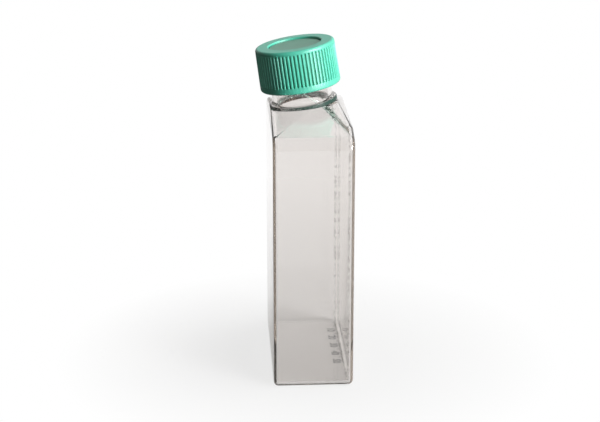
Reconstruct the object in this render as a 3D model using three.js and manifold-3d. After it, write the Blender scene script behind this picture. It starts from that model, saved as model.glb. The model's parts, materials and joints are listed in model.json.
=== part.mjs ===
// Cell culture flask with a canted neck, a ribbed screw cap and a plug seal.
//
// Millimetres, +Z up. The origin is the centre of the flat base end, on which the flask stands.
// X runs through the thickness, with the growth face at +X. Y runs across the width.
// The neck leans towards -X, away from the growth face.

import * as THREE from 'three';
import { ConvexGeometry } from 'three/addons/geometries/ConvexGeometry.js';
import { mergeVertices } from 'three/addons/utils/BufferGeometryUtils.js';
import Module from 'manifold-3d';

// Driving dimensions of the flask body
const BODY_THICKNESS = 36.5;
const BODY_WIDTH = 84;
const SHOULDER_HEIGHT = 115.5; // where the narrow sides, drawn on, would meet the shoulders
const SHOULDER_BEND_RADIUS = 7; // of the soft bend between a narrow side and its shoulder
const WALL = 1.5;
const EDGE_RADIUS = 2.2;
const BASE_CORNER_RADIUS = 3.6; // corners of the base end, seen on the wide faces
const FOLD_HALF_WIDTH = 31; // half the length of the fold where the growth face meets the ramp

// Growth plate, welded into the open side of the shell
const SEAM_DEPTH = 2.6; // weld line, measured in from the growth face
const SEAM_MEET = 7; // where the weld line meets the neck ring, from the neck's axis towards +X
const SEAM_GAP = 0.3;

// Neck, measured along its own axis from the flat top of the body
const NECK_CANT_DEG = 8.5;
const SHOULDER_RISE = 10; // from where the shoulders start to the middle of the neck's foot
const NECK_ROOT_RADIUS = 14; // under the thread
const NECK_WALL = 2.1;
const NECK_LIP_ROUND = 0.5;
const NECK_RING_STEP = 1.7; // how far the ring at the neck's foot stands out from the neck
const NECK_RING_HEIGHT = 1;
const NECK_RING_INSET = 0.15; // from the top wall's face to the ring
const NECK_FILLET = 0.9;
const BORE_FLARE = 0.8;

// Screw thread, right-handed, one start
const THREAD_PITCH = 4;
const THREAD_HEIGHT = 1.5;
const THREAD_ROOT_WIDTH = 2.2;
const THREAD_CREST_WIDTH = 0.9;
const THREAD_ROOTED = 0.3; // how deep a ridge's foot lies in its wall
const THREAD_FADE_DEG = 35; // each end of a ridge sinks into its wall over this turn
const THREAD_SUNK = 0.15; // how deep its crest lies in the wall by the end
const NECK_THREAD_START = 12.2; // height at which the neck's ridge starts
const NECK_THREAD_TURNS = 1.5;
const CAP_THREAD_START = 10.2;
const CAP_THREAD_TURNS = 1.25;
const THREAD_RADIAL_CLEARANCE = 0.4;
const THREAD_FLANK_CLEARANCE = 0.3;

// Cap
const CAP_GAP = 7.5; // clear neck between the flat top of the body and the cap
const CAP_HEIGHT = 19.8;
const CAP_WALL = 1.9; // from the bore to the floor of the grooves
const CAP_DRAFT = 0.25; // how much wider the plain band is than the top of the ribs
const CAP_TOP_THICKNESS = 1.4;
const CAP_EDGE_RADIUS = 1.3;
const CAP_BAND_HEIGHT = 2.9;
const CAP_BAND_ROUND = 0.8;
const CAP_MOUTH_CHAMFER = 0.7;
const WINDOW_RADIUS = 12.2;
const WINDOW_CHAMFER = 0.6;
const RIB_COUNT = 66;
const RIB_DEPTH = 0.5;
const RIB_LAND = 0.3; // share of a rib's pitch that is its flat crest
const GROOVE_LAND = 0.22; // share of a rib's pitch that is the floor of the groove
const RIB_TOP_MARGIN = 1.7;

// Plug seal, held under the top of the cap
const SEAL_CLEARANCE = 0.3;
const SEAL_THICKNESS = 1.2;
const SEAL_RECESS = 0.9; // how far its face lies below the cap's rim
const SEAL_EDGE_CLEARANCE = 0.5;
const PLUG_WALL = 1.3;
const PLUG_LENGTH = 6.5;
const PLUG_CHAMFER = 0.6;

// Facets
const ROUND_SEGMENTS = 48;
const CORNER_SEGMENTS = 16;
const ARC_STEPS = 4;
const CAP_ARC_STEPS = 2; // on the ribbed outside of the cap, where a step costs many facets
const THREAD_STEPS_PER_TURN = 36;

const DEG = Math.PI / 180;
const halfThickness = BODY_THICKNESS / 2;
const halfWidth = BODY_WIDTH / 2;
const neckRingRadius = NECK_ROOT_RADIUS + NECK_RING_STEP;
const neckBoreRadius = NECK_ROOT_RADIUS - NECK_WALL;
const neckHeight = SHOULDER_HEIGHT + SHOULDER_RISE;
const neckX = NECK_RING_INSET - halfThickness + neckRingRadius * Math.cos(NECK_CANT_DEG * DEG);
const capTop = CAP_GAP + CAP_HEIGHT;
const sealTop = capTop - CAP_TOP_THICKNESS - SEAL_CLEARANCE;
const sealUnderside = sealTop - SEAL_THICKNESS;
const neckLength = sealUnderside - SEAL_CLEARANCE;
const capBoreRadius = NECK_ROOT_RADIUS + THREAD_HEIGHT + THREAD_RADIAL_CLEARANCE;
const grooveFloorRadius = capBoreRadius + CAP_WALL;
const capTopRadius = grooveFloorRadius + RIB_DEPTH;
const capRadius = capTopRadius + CAP_DRAFT;

const wasm = await Module();
wasm.setup();

// A closed three.js geometry as a solid that can be cut and joined.
function solid(geometry) {
  const bare = geometry.index ? geometry.toNonIndexed() : geometry.clone();
  bare.deleteAttribute('normal');
  bare.deleteAttribute('uv');
  const merged = mergeVertices(bare, 1e-5);
  return new wasm.Manifold(new wasm.Mesh({
    numProp: 3,
    vertProperties: new Float32Array(merged.attributes.position.array),
    triVerts: new Uint32Array(merged.index.array),
  }));
}

function geometryOf(manifold) {
  const mesh = manifold.getMesh();
  const geometry = new THREE.BufferGeometry();
  geometry.setAttribute('position', new THREE.BufferAttribute(mesh.vertProperties, 3));
  geometry.setIndex(new THREE.BufferAttribute(mesh.triVerts, 1));
  return geometry;
}

// Points of an arc, both ends included.
function arc(centreR, centreZ, radius, fromDeg, toDeg, steps = ARC_STEPS) {
  const points = [];
  for (let i = 0; i <= steps; i += 1) {
    const angle = (fromDeg + ((toDeg - fromDeg) * i) / steps) * DEG;
    points.push([centreR + radius * Math.cos(angle), centreZ + radius * Math.sin(angle)]);
  }
  return points;
}

// A body of revolution about Z from [radius, height] points, lowest first on the outside.
function turned(points, segments = ROUND_SEGMENTS) {
  const profile = points.map(([radius, height]) => new THREE.Vector2(radius, height));
  return new THREE.LatheGeometry(profile, segments).rotateX(Math.PI / 2);
}

// The neck's own frame: its origin is the centre of the neck ring's foot, its Z the neck's axis.
function neckFrame() {
  const frame = new THREE.Group();
  frame.position.set(neckX, 0, neckHeight);
  frame.rotation.y = -NECK_CANT_DEG * DEG;
  frame.updateMatrix();
  return frame;
}

const neckPlacement = neckFrame().matrix;

// Centres of the spheres whose hull is the flask body. The same centres with a smaller radius
// give the cavity, so the wall is even.
function bodyCentres() {
  const centres = [];
  const inX = halfThickness - EDGE_RADIUS;
  const inY = halfWidth - EDGE_RADIUS;
  const baseRound = BASE_CORNER_RADIUS - EDGE_RADIUS;
  const outline = [
    ...arc(inY - baseRound, BASE_CORNER_RADIUS, baseRound, -90, 0),
    ...shoulderBend(),
  ];
  for (const x of [-inX, inX]) {
    for (const side of [-1, 1]) {
      for (const [y, z] of outline) {
        centres.push(new THREE.Vector3(x, side * y, z));
      }
    }
  }
  const fold = foldCentre();
  return centres.concat([fold, new THREE.Vector3(fold.x, -fold.y, fold.z)], neckRingCentres());
}

// The shoulder's slope, from where it would meet the narrow side to the neck ring.
function shoulderSlope() {
  const ringSide = neckRingCentres().reduce((a, b) => (b.y > a.y ? b : a));
  const run = halfWidth - EDGE_RADIUS - ringSide.y;
  return (ringSide.z - SHOULDER_HEIGHT) / run;
}

function shoulderBend() {
  const turn = 90 - Math.atan(shoulderSlope()) / DEG;
  const radius = SHOULDER_BEND_RADIUS - EDGE_RADIUS;
  const foot = SHOULDER_HEIGHT - radius * Math.tan((turn / 2) * DEG);
  return arc(halfWidth - EDGE_RADIUS - radius, foot, radius, 0, turn, 2 * ARC_STEPS);
}

// One end of the ramp's fold. It lies on the shoulder.
function foldCentre() {
  const foldY = FOLD_HALF_WIDTH - EDGE_RADIUS;
  const foldZ = SHOULDER_HEIGHT + (halfWidth - EDGE_RADIUS - foldY) * shoulderSlope();
  return new THREE.Vector3(halfThickness - EDGE_RADIUS, foldY, foldZ);
}

function neckRingCentres() {
  const centres = [];
  for (let i = 0; i < ROUND_SEGMENTS; i += 1) {
    const angle = (2 * Math.PI * i) / ROUND_SEGMENTS;
    const radius = neckRingRadius - EDGE_RADIUS;
    const centre = new THREE.Vector3(radius * Math.cos(angle), radius * Math.sin(angle), -EDGE_RADIUS);
    centres.push(centre.applyMatrix4(neckPlacement));
  }
  return centres;
}

function hullOfSpheres(centres, radius) {
  const sphere = new THREE.SphereGeometry(radius, CORNER_SEGMENTS, CORNER_SEGMENTS / 2);
  const offsets = mergeVertices(sphere.rotateX(Math.PI / 2).deleteAttribute('normal').deleteAttribute('uv'));
  const points = [];
  const offset = new THREE.Vector3();
  for (const centre of centres) {
    for (let i = 0; i < offsets.attributes.position.count; i += 1) {
      offset.fromBufferAttribute(offsets.attributes.position, i);
      points.push(centre.clone().add(offset));
    }
  }
  return new ConvexGeometry(points);
}

// A ridge's path: a right-handed helix that sinks by `sink` over both of its ends. The frames
// keep the profile's x radial and its y along the axis.
class ThreadPath extends THREE.Curve {
  constructor(radius, start, turns, sink) {
    super();
    this.radius = radius;
    this.start = start;
    this.turns = turns;
    this.sink = sink;
  }

  getPoint(t, target = new THREE.Vector3()) {
    const turned360 = t * this.turns;
    const toEnd = Math.min(turned360, this.turns - turned360) * 360;
    const fade = Math.max(0, 1 - toEnd / THREAD_FADE_DEG);
    const radius = this.radius + this.sink * fade;
    const angle = 2 * Math.PI * turned360;
    return target.set(
      radius * Math.cos(angle),
      radius * Math.sin(angle),
      this.start + THREAD_PITCH * turned360,
    );
  }

  getPointAt(t, target) {
    return this.getPoint(t, target);
  }

  computeFrenetFrames(steps) {
    const frames = { tangents: [], normals: [], binormals: [] };
    for (let i = 0; i <= steps; i += 1) {
      const angle = (2 * Math.PI * this.turns * i) / steps;
      frames.tangents.push(new THREE.Vector3(-Math.sin(angle), Math.cos(angle), 0));
      frames.normals.push(new THREE.Vector3(Math.cos(angle), Math.sin(angle), 0));
      frames.binormals.push(new THREE.Vector3(0, 0, 1));
    }
    return frames;
  }
}

// A thread ridge on a wall of the given radius. Outward is 1 on a neck and -1 inside a cap.
function threadRidge(wallRadius, outward, start, turns) {
  const flare = (THREAD_ROOT_WIDTH - THREAD_CREST_WIDTH) / THREAD_HEIGHT;
  const rootHalf = (THREAD_ROOT_WIDTH + flare * THREAD_ROOTED) / 2;
  const crestHalf = THREAD_CREST_WIDTH / 2;
  const outline = new THREE.Shape([
    new THREE.Vector2(-outward * THREAD_ROOTED, -rootHalf),
    new THREE.Vector2(outward * THREAD_HEIGHT, -crestHalf),
    new THREE.Vector2(outward * THREAD_HEIGHT, crestHalf),
    new THREE.Vector2(-outward * THREAD_ROOTED, rootHalf),
  ]);
  const path = new ThreadPath(wallRadius, start, turns, -outward * (THREAD_HEIGHT + THREAD_SUNK));
  return new THREE.ExtrudeGeometry(outline, {
    steps: Math.round(turns * THREAD_STEPS_PER_TURN),
    extrudePath: path,
    bevelEnabled: false,
  });
}

// The body as a hollow box with a tapering top, still one piece with its growth side.
function hollowBody() {
  const centres = bodyCentres();
  const outside = solid(hullOfSpheres(centres, EDGE_RADIUS));
  const cavity = solid(hullOfSpheres(centres, EDGE_RADIUS - WALL));
  return { outside, cavity };
}

// The side of the weld line that belongs to the growth plate, moved towards +X by `inset`.
function growthSide(inset) {
  const seamX = halfThickness - SEAM_DEPTH;
  const foldZ = foldCentre().z;
  const meet = new THREE.Vector3(SEAM_MEET, 0, 0).applyMatrix4(neckPlacement);
  const slope = (meet.z - foldZ) / (meet.x - seamX);
  const slopeInset = inset * Math.hypot(1, 1 / slope);
  const beyond = 12;
  const far = halfThickness + beyond;
  const outline = new THREE.Shape([
    new THREE.Vector2(seamX + inset, -beyond),
    new THREE.Vector2(far, -beyond),
    new THREE.Vector2(far, meet.z + beyond),
    new THREE.Vector2(meet.x - beyond + slopeInset, meet.z - slope * beyond),
    new THREE.Vector2(seamX + inset, foldZ + slope * (inset - slopeInset)),
  ]);
  const slab = new THREE.ExtrudeGeometry(outline, { depth: 2 * BODY_WIDTH, bevelEnabled: false });
  return solid(slab.translate(0, 0, -BODY_WIDTH).rotateX(Math.PI / 2));
}

// What lies within the neck ring, and as far below it as the rounded edge reaches, is the shell's.
function neckZone(margin) {
  const radius = neckRingRadius + margin;
  const depth = 2 * EDGE_RADIUS + margin;
  const zone = turned([[0, -depth], [radius, -depth], [radius, capTop], [0, capTop]]);
  return solid(zone.applyMatrix4(neckPlacement));
}

function neckOutside() {
  const filletFoot = NECK_RING_HEIGHT;
  const filletTop = NECK_RING_HEIGHT + NECK_FILLET;
  const profile = [
    [0, -EDGE_RADIUS],
    [neckRingRadius, -EDGE_RADIUS],
    [neckRingRadius, filletFoot - NECK_LIP_ROUND],
    [neckRingRadius - NECK_LIP_ROUND, filletFoot],
    ...arc(NECK_ROOT_RADIUS + NECK_FILLET, filletTop, NECK_FILLET, 250, 180),
    [NECK_ROOT_RADIUS, neckLength - NECK_LIP_ROUND],
    [NECK_ROOT_RADIUS - NECK_LIP_ROUND, neckLength],
    [0, neckLength],
  ];
  return solid(turned(profile).applyMatrix4(neckPlacement));
}

function neckBore() {
  const above = neckLength + 1;
  const below = -2 * EDGE_RADIUS;
  const profile = [
    [0, below],
    [neckBoreRadius + BORE_FLARE, below],
    [neckBoreRadius + BORE_FLARE, -WALL],
    [neckBoreRadius, BORE_FLARE],
    [neckBoreRadius, above],
    [0, above],
  ];
  return solid(turned(profile).applyMatrix4(neckPlacement));
}

function neckThread() {
  const ridge = threadRidge(NECK_ROOT_RADIUS, 1, NECK_THREAD_START, NECK_THREAD_TURNS);
  return solid(ridge.applyMatrix4(neckPlacement));
}

function flaskShell({ outside, cavity }) {
  const growth = growthSide(0).subtract(neckZone(0));
  return outside.add(neckOutside()).add(neckThread())
    .subtract(cavity)
    .subtract(neckBore())
    .subtract(growth);
}

function growthPlate({ outside, cavity }) {
  return outside.subtract(cavity)
    .intersect(growthSide(SEAM_GAP))
    .subtract(neckZone(SEAM_GAP));
}

// A ring whose inner outline is the ribbed grip, which cuts the grooves into the skirt.
function grooveCutter(from, to) {
  const pitch = (2 * Math.PI) / RIB_COUNT;
  const clear = capRadius + RIB_DEPTH;
  const outline = new THREE.Shape().absarc(0, 0, clear + 1, 0, 2 * Math.PI, false);
  const grip = [];
  const crest = (RIB_LAND * pitch) / 2;
  const floor = (GROOVE_LAND * pitch) / 2;
  for (let i = 0; i < RIB_COUNT; i += 1) {
    const rib = i * pitch;
    const groove = rib + pitch / 2;
    const corners = [[clear, rib + crest], [grooveFloorRadius, groove - floor], [grooveFloorRadius, groove + floor]];
    corners.push([clear, rib + pitch - crest]);
    for (const [radius, angle] of corners) {
      grip.push(new THREE.Vector2(radius * Math.cos(angle), radius * Math.sin(angle)));
    }
  }
  outline.holes.push(new THREE.Path(grip));
  const cutter = new THREE.ExtrudeGeometry(outline, {
    depth: to - from,
    bevelEnabled: false,
    curveSegments: RIB_COUNT,
  });
  return solid(cutter.translate(0, 0, from));
}

function capOutside() {
  const bandFoot = CAP_GAP + CAP_BAND_ROUND;
  const ribTop = capTop - CAP_EDGE_RADIUS;
  const profile = [
    [0, CAP_GAP],
    ...arc(capRadius - CAP_BAND_ROUND, bandFoot, CAP_BAND_ROUND, -90, 0, CAP_ARC_STEPS),
    [capRadius, CAP_GAP + CAP_BAND_HEIGHT],
    ...arc(capTopRadius - CAP_EDGE_RADIUS, ribTop, CAP_EDGE_RADIUS, 0, 90, CAP_ARC_STEPS),
    [0, capTop],
  ];
  return solid(turned(profile, RIB_COUNT));
}

function capInside() {
  const ceiling = capTop - CAP_TOP_THICKNESS;
  const profile = [
    [0, CAP_GAP - 1],
    [capBoreRadius + CAP_MOUTH_CHAMFER, CAP_GAP - 1],
    [capBoreRadius + CAP_MOUTH_CHAMFER, CAP_GAP],
    [capBoreRadius, CAP_GAP + CAP_MOUTH_CHAMFER],
    [capBoreRadius, ceiling],
    [WINDOW_RADIUS, ceiling],
    [WINDOW_RADIUS, capTop - WINDOW_CHAMFER],
    [WINDOW_RADIUS + WINDOW_CHAMFER, capTop],
    [WINDOW_RADIUS + WINDOW_CHAMFER, capTop + 1],
    [0, capTop + 1],
  ];
  return solid(turned(profile));
}

// The cap's ridge rides under the neck's ridge, a flank clearance away.
function capThread() {
  const slope = (THREAD_ROOT_WIDTH - THREAD_CREST_WIDTH) / THREAD_HEIGHT / 2;
  const halves = THREAD_ROOT_WIDTH - slope * (THREAD_HEIGHT + THREAD_RADIAL_CLEARANCE);
  const drop = halves + THREAD_FLANK_CLEARANCE;
  const turnsBelow = Math.floor((NECK_THREAD_START - drop - CAP_THREAD_START) / THREAD_PITCH);
  const start = NECK_THREAD_START - drop - turnsBelow * THREAD_PITCH;
  const ridge = threadRidge(capBoreRadius, -1, start, CAP_THREAD_TURNS);
  return solid(ridge);
}

function cap() {
  const grooves = grooveCutter(CAP_GAP + CAP_BAND_HEIGHT, capTop - RIB_TOP_MARGIN);
  return capOutside().subtract(capInside()).add(capThread()).subtract(grooves);
}

function plugSeal() {
  const face = capTop - SEAL_RECESS;
  const faceRadius = WINDOW_RADIUS - SEAL_CLEARANCE;
  const flangeRadius = capBoreRadius - SEAL_EDGE_CLEARANCE;
  const plugRadius = neckBoreRadius - SEAL_CLEARANCE;
  const plugEnd = sealUnderside - PLUG_LENGTH;
  const profile = [
    [0, sealUnderside],
    [plugRadius - PLUG_WALL, sealUnderside],
    [plugRadius - PLUG_WALL, plugEnd],
    [plugRadius - PLUG_CHAMFER, plugEnd],
    [plugRadius, plugEnd + PLUG_CHAMFER],
    [plugRadius, sealUnderside],
    [flangeRadius, sealUnderside],
    [flangeRadius, sealTop],
    [faceRadius, sealTop],
    [faceRadius, face],
    [0, face],
  ];
  return turned(profile);
}

function part(name, geometry, colour, roughness, opacity = 1) {
  const material = new THREE.MeshStandardMaterial({
    color: colour,
    roughness,
    metalness: 0,
    flatShading: true,
    transparent: opacity < 1,
    opacity,
  });
  const mesh = new THREE.Mesh(geometry, material);
  mesh.name = name;
  return mesh;
}

const POLYSTYRENE = 0xe9ecea;
const CAP_GREEN = 0x78c9ae;
const SEAL_GREEN = 0x86b8a6;

const flask = new THREE.Group();
const body = hollowBody();
flask.add(part('flask_shell', geometryOf(flaskShell(body)), POLYSTYRENE, 0.08, 0.35));
flask.add(part('growth_plate', geometryOf(growthPlate(body)), POLYSTYRENE, 0.08, 0.35));

const neck = neckFrame();
neck.add(part('plug_seal', plugSeal(), SEAL_GREEN, 0.5));
neck.add(part('screw_cap', geometryOf(cap()), CAP_GREEN, 0.4));
flask.add(neck);

export default flask;
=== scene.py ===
import json
import math

import bmesh
import bpy
from bpy.props import FloatProperty, FloatVectorProperty, IntProperty, PointerProperty
from mathutils import Matrix, Vector


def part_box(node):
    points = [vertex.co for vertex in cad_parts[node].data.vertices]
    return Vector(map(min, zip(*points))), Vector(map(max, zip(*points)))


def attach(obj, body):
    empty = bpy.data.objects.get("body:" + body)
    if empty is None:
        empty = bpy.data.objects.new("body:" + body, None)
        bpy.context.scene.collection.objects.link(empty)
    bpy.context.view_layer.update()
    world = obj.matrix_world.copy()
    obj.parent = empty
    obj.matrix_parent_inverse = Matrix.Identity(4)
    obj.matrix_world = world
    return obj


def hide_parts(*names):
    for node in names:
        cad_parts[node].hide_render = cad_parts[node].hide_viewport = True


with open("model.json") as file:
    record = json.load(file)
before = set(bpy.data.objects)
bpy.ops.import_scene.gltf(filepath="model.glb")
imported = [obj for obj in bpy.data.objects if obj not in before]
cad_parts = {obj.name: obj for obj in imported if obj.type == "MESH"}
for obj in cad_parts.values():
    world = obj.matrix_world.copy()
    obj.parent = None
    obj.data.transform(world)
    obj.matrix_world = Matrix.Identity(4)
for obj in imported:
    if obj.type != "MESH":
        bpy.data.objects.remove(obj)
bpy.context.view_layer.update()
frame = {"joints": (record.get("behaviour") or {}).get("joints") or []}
SHELL_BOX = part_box("flask_shell")
PLATE_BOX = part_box("growth_plate")
CAP_TURN = next(joint for joint in frame["joints"] if joint["name"] == "cap_turn")

bl_info = {
    "name": "Cell culture flask",
    "version": (1, 0, 0),
    "blender": (4, 5, 0),
    "location": "3D View > Sidebar > Flask",
    "description": "Builds a clear culture flask with a canted neck, a ribbed screw cap and its seal",
    "category": "Object",
}


# ---------------------------------------------------------------------------------------------
# Sizes and colours
# ---------------------------------------------------------------------------------------------


def length(name, description, default):
    return FloatProperty(
        name=name, description=description, default=default, unit="LENGTH", min=0.0, precision=5
    )


def share(name, description, default):
    return FloatProperty(
        name=name, description=description, default=default, subtype="FACTOR", min=0.0, max=1.0
    )


def colour(name, description, default):
    return FloatVectorProperty(
        name=name, description=description, default=default, subtype="COLOR", min=0.0, max=1.0
    )


class FlaskBodySizes(bpy.types.PropertyGroup):
    thickness: length("Thickness", "From the top wall to the growth face", 2 * PLATE_BOX[1].x)
    width: length("Width", "Across both narrow sides", 2 * SHELL_BOX[1].y)
    shoulder: length("Shoulder height", "Where side and shoulder, drawn on, would meet", 0.1155)
    bend: length("Shoulder bend", "Radius of the bend between side and shoulder", 0.007)
    wall: length("Wall", "Wall thickness of the body", 0.0015)
    edge_radius: length("Edge radius", "Outer radius of the body's long edges", 0.0022)
    base_corner: length("Base corner", "Radius of the base corners on the wide faces", 0.0036)
    fold_half: length("Fold", "Half the length of the fold at the foot of the ramp", 0.031)
    seam_depth: length("Seam depth", "Weld line, in from the growth face", 0.0026)
    seam_meet: length("Seam meets ring", "From the neck's axis to the end of the weld line", 0.007)
    seam_gap: length("Seam gap", "Width of the weld line", 0.0003)


class FlaskNeckSizes(bpy.types.PropertyGroup):
    root_radius: length("Root radius", "Neck radius under the thread", 0.014)
    wall: length("Neck wall", "Wall thickness of the neck", 0.0021)
    length: length("Neck length", "From the foot of the neck to its lip", 0.0241)
    lip_round: length("Lip round", "Rounding of the lip and of the ring", 0.0005)
    ring_step: length("Ring step", "How far the ring at the foot stands out", 0.0017)
    ring_height: length("Ring height", "Height of the ring's straight side", 0.001)
    fillet: length("Fillet", "From the ring to the neck", 0.0009)
    flare: length("Bore flare", "How much the bore widens at its foot", 0.0008)


class FlaskThreadSizes(bpy.types.PropertyGroup):
    pitch: length("Pitch", "Rise of the thread in one turn", 0.004)
    height: length("Height", "How far the ridge stands out", 0.0015)
    root_width: length("Root width", "Width of the ridge at its foot", 0.0022)
    crest_width: length("Crest width", "Width of the ridge at its crest", 0.0009)
    fade: FloatProperty(
        name="Fade", description="Turn over which each end of the ridge sinks into its wall",
        default=math.radians(35), subtype="ANGLE",
    )
    neck_start: length("Neck start", "Height at which the neck's ridge starts", 0.0122)
    neck_turns: FloatProperty(name="Neck turns", description="Turns of the neck's ridge", default=1.5)
    cap_start: length("Cap start", "Height at which the cap's ridge starts", 0.010523)
    cap_turns: FloatProperty(name="Cap turns", description="Turns of the cap's ridge", default=1.25)


class FlaskCapSizes(bpy.types.PropertyGroup):
    gap: length("Gap", "Clear neck between the ring and the cap", 0.0075)
    height: length("Height", "Height of the cap", 0.0198)
    bore_radius: length("Bore radius", "Inside of the skirt, behind the thread", 0.0159)
    groove_radius: length("Groove radius", "Floor of the grooves between the ribs", 0.0178)
    top_radius: length("Top radius", "Crest of the ribs at the top", 0.0183)
    band_radius: length("Band radius", "Plain band below the ribs", 0.01855)
    band_height: length("Band height", "Height of the plain band", 0.0029)
    band_round: length("Band round", "Rounding of the lower edge", 0.0008)
    edge_radius: length("Top edge radius", "Rounding of the upper edge", 0.0013)
    rib_margin: length("Rib margin", "From the ends of the grooves to the top", 0.0017)
    mouth_chamfer: length("Mouth chamfer", "Chamfer at the mouth", 0.0007)
    top_thickness: length("Top thickness", "Thickness of the rim round the window", 0.0014)
    window_radius: length("Window radius", "Radius of the window in the top", 0.0122)
    window_chamfer: length("Window chamfer", "Chamfer round the window", 0.0006)
    ribs: IntProperty(name="Ribs", description="Number of ribs on the grip", default=66, min=3)
    rib_land: share("Rib land", "Share of a rib's pitch that is its crest", 0.3)
    groove_land: share("Groove land", "Share of a rib's pitch that is the groove's floor", 0.22)


class FlaskSealSizes(bpy.types.PropertyGroup):
    clearance: length("Clearance", "From the seal to the neck and the cap", 0.0003)
    thickness: length("Flange thickness", "Flange between the cap and the lip", 0.0012)
    recess: length("Recess", "How far the face lies below the rim", 0.0009)
    edge_clearance: length("Edge clearance", "From the flange to the skirt", 0.0005)
    plug_wall: length("Plug wall", "Wall of the plug's ring", 0.0013)
    plug_length: length("Plug length", "How far the ring reaches into the neck", 0.0065)
    plug_chamfer: length("Plug chamfer", "Lead-in chamfer of the ring", 0.0006)


class FlaskTrimSizes(bpy.types.PropertyGroup):
    bead_play: length("Bead play", "From the weld bead to the plastic round it", 0.00004)
    bead_inside: length("Inner bead", "Height of the bead inside the walls", 0.00037)
    bead_lap: length("Bead lap", "How far the inner bead laps each side of the weld", 0.0004)
    rule_from_face: length("Rule from face", "Middle of the rule, in from the growth face", 0.0052)
    rule_start: length("Rule start", "Foot of the rule, in from the rear side", 0.0055)
    rule_length: IntProperty(
        name="Rule length", description="Millimetres on the rule, a tick for each", default=50, min=5
    )
    digit_height: length("Digit height", "Height of the rule's numbers", 0.0036)
    ink_thickness: length("Ink thickness", "Thickness of the printed ink", 0.00001)


class FlaskColours(bpy.types.PropertyGroup):
    clear: colour("Clear plastic", "Surface tint of the polystyrene", (0.925, 0.908, 0.898))
    clear_flow: colour("Flow marks", "Tint where the melt has flowed", (0.90, 0.88, 0.865))
    depth_tint: colour("Depth tint", "Colour that thick clear plastic takes", (0.80, 0.74, 0.68))
    # The thick weld colour also paints the dark green reflection of the cap round the neck ring.
    weld_dark_and_cap_reflection: colour("Weld", "Colour of the melted weld where it is thick", (0.007, 0.038, 0.027))
    weld_pale: colour("Weld, thin", "Colour of the weld where it is thin", (0.60, 0.74, 0.67))
    # The cap colour is the darkest tone, left in the grooves as painted shade; the rib crest colour
    # is a painted highlight, paler where the ribs catch the light.
    cap: colour("Cap", "Colour of the cap", (0.004, 0.27, 0.16))
    cap_crest_highlight: colour("Rib crests", "Colour of the highlighted crests of the ribs", (0.14, 0.80, 0.60))
    seal: colour("Seal", "Colour of the seal", (0.19, 0.42, 0.32))
    ink: colour("Ink", "Colour of the printed scale", (0.05, 0.055, 0.06))
    floor: colour("Floor", "Colour of the floor", (0.93, 0.93, 0.925))


ROUND = 144  # steps round the neck and the seal
RING_SPHERES = 96  # spheres round the neck ring, for the hull of the body
THREAD_STEP = 0.00016  # between the rows up the neck, fine enough for its thread
CAP_THREAD_STEP = 0.00022
GRIP_STEP = 0.00045  # between the rows up the grip of the cap


class Layout:
    """Radii, heights and frames that follow from the sizes in the panel."""

    def __init__(self, scene):
        self.body, self.neck, self.thread = scene.flask_body, scene.flask_neck, scene.flask_thread
        self.cap, self.seal, self.trim = scene.flask_cap, scene.flask_seal, scene.flask_trim
        axis = Vector(CAP_TURN["axis"]).normalized()
        self.cant = math.atan2(axis.x, axis.z)
        self.neck_frame = (
            Matrix.Translation(CAP_TURN["pos_m"]) @ Matrix.Rotation(self.cant, 4, "Y")
        )
        self.ring_radius = self.neck.root_radius + self.neck.ring_step
        self.neck_bore = self.neck.root_radius - self.neck.wall
        self.cap_top = self.cap.gap + self.cap.height
        self.ceiling = self.cap_top - self.cap.top_thickness
        self.seal_top = self.ceiling - self.seal.clearance
        self.seal_underside = self.seal_top - self.seal.thickness

    def body_centres(self):
        """Centres of the spheres whose hull is the body, and with a smaller radius its cavity."""
        body = self.body
        in_x = body.thickness / 2 - body.edge_radius
        in_y = body.width / 2 - body.edge_radius
        corner = body.base_corner - body.edge_radius
        bend = body.bend - body.edge_radius
        turn = 90 - math.degrees(math.atan(self.shoulder_slope()))
        bend_foot = body.shoulder - bend * math.tan(math.radians(turn / 2))
        outline = arc(in_y - corner, body.base_corner, corner, -90, 0, 6)
        outline += arc(in_y - bend, bend_foot, bend, 0, turn, 14)
        centres = [
            Vector((x, side * y, z)) for x in (-in_x, in_x) for side in (-1, 1) for y, z in outline
        ]
        fold = self.fold_centre()
        return centres + self.ring_centres() + [fold, Vector((fold.x, -fold.y, fold.z))]

    def ring_centres(self):
        """Centres of the spheres along the ring at the foot of the neck."""
        radius = self.ring_radius - self.body.edge_radius
        centres = []
        for i in range(RING_SPHERES):
            angle = 2 * math.pi * i / RING_SPHERES
            place = Vector((radius * math.cos(angle), radius * math.sin(angle),
                            -self.body.edge_radius))
            centres.append(self.neck_frame @ place)
        return centres

    def shoulder_slope(self):
        """Rise of the shoulder for each metre in from the narrow side."""
        body = self.body
        ring_side = max(self.ring_centres(), key=lambda centre: centre.y)
        return (ring_side.z - body.shoulder) / (body.width / 2 - body.edge_radius - ring_side.y)

    def seam_line(self):
        """The corner of the weld line at the fold, and its way up the slope."""
        corner = Vector((self.body.thickness / 2 - self.body.seam_depth, 0, self.fold_centre().z))
        meet = self.neck_frame @ Vector((self.body.seam_meet, 0, 0))
        return corner, (meet - corner).normalized()

    def fold_centre(self):
        """Centre of the sphere at one end of the ramp's fold."""
        body = self.body
        fold_y = body.fold_half - body.edge_radius
        inwards = body.width / 2 - body.edge_radius - fold_y
        fold_z = body.shoulder + inwards * self.shoulder_slope()
        return Vector((body.thickness / 2 - body.edge_radius, fold_y, fold_z))


# ---------------------------------------------------------------------------------------------
# Shapes
# ---------------------------------------------------------------------------------------------


def arc(centre_r, centre_z, radius, start, stop, steps):
    """Points of an arc, both ends included, with its angles in degrees."""
    points = []
    for i in range(steps + 1):
        angle = math.radians(start + (stop - start) * i / steps)
        points.append((centre_r + radius * math.cos(angle), centre_z + radius * math.sin(angle)))
    return points


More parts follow.
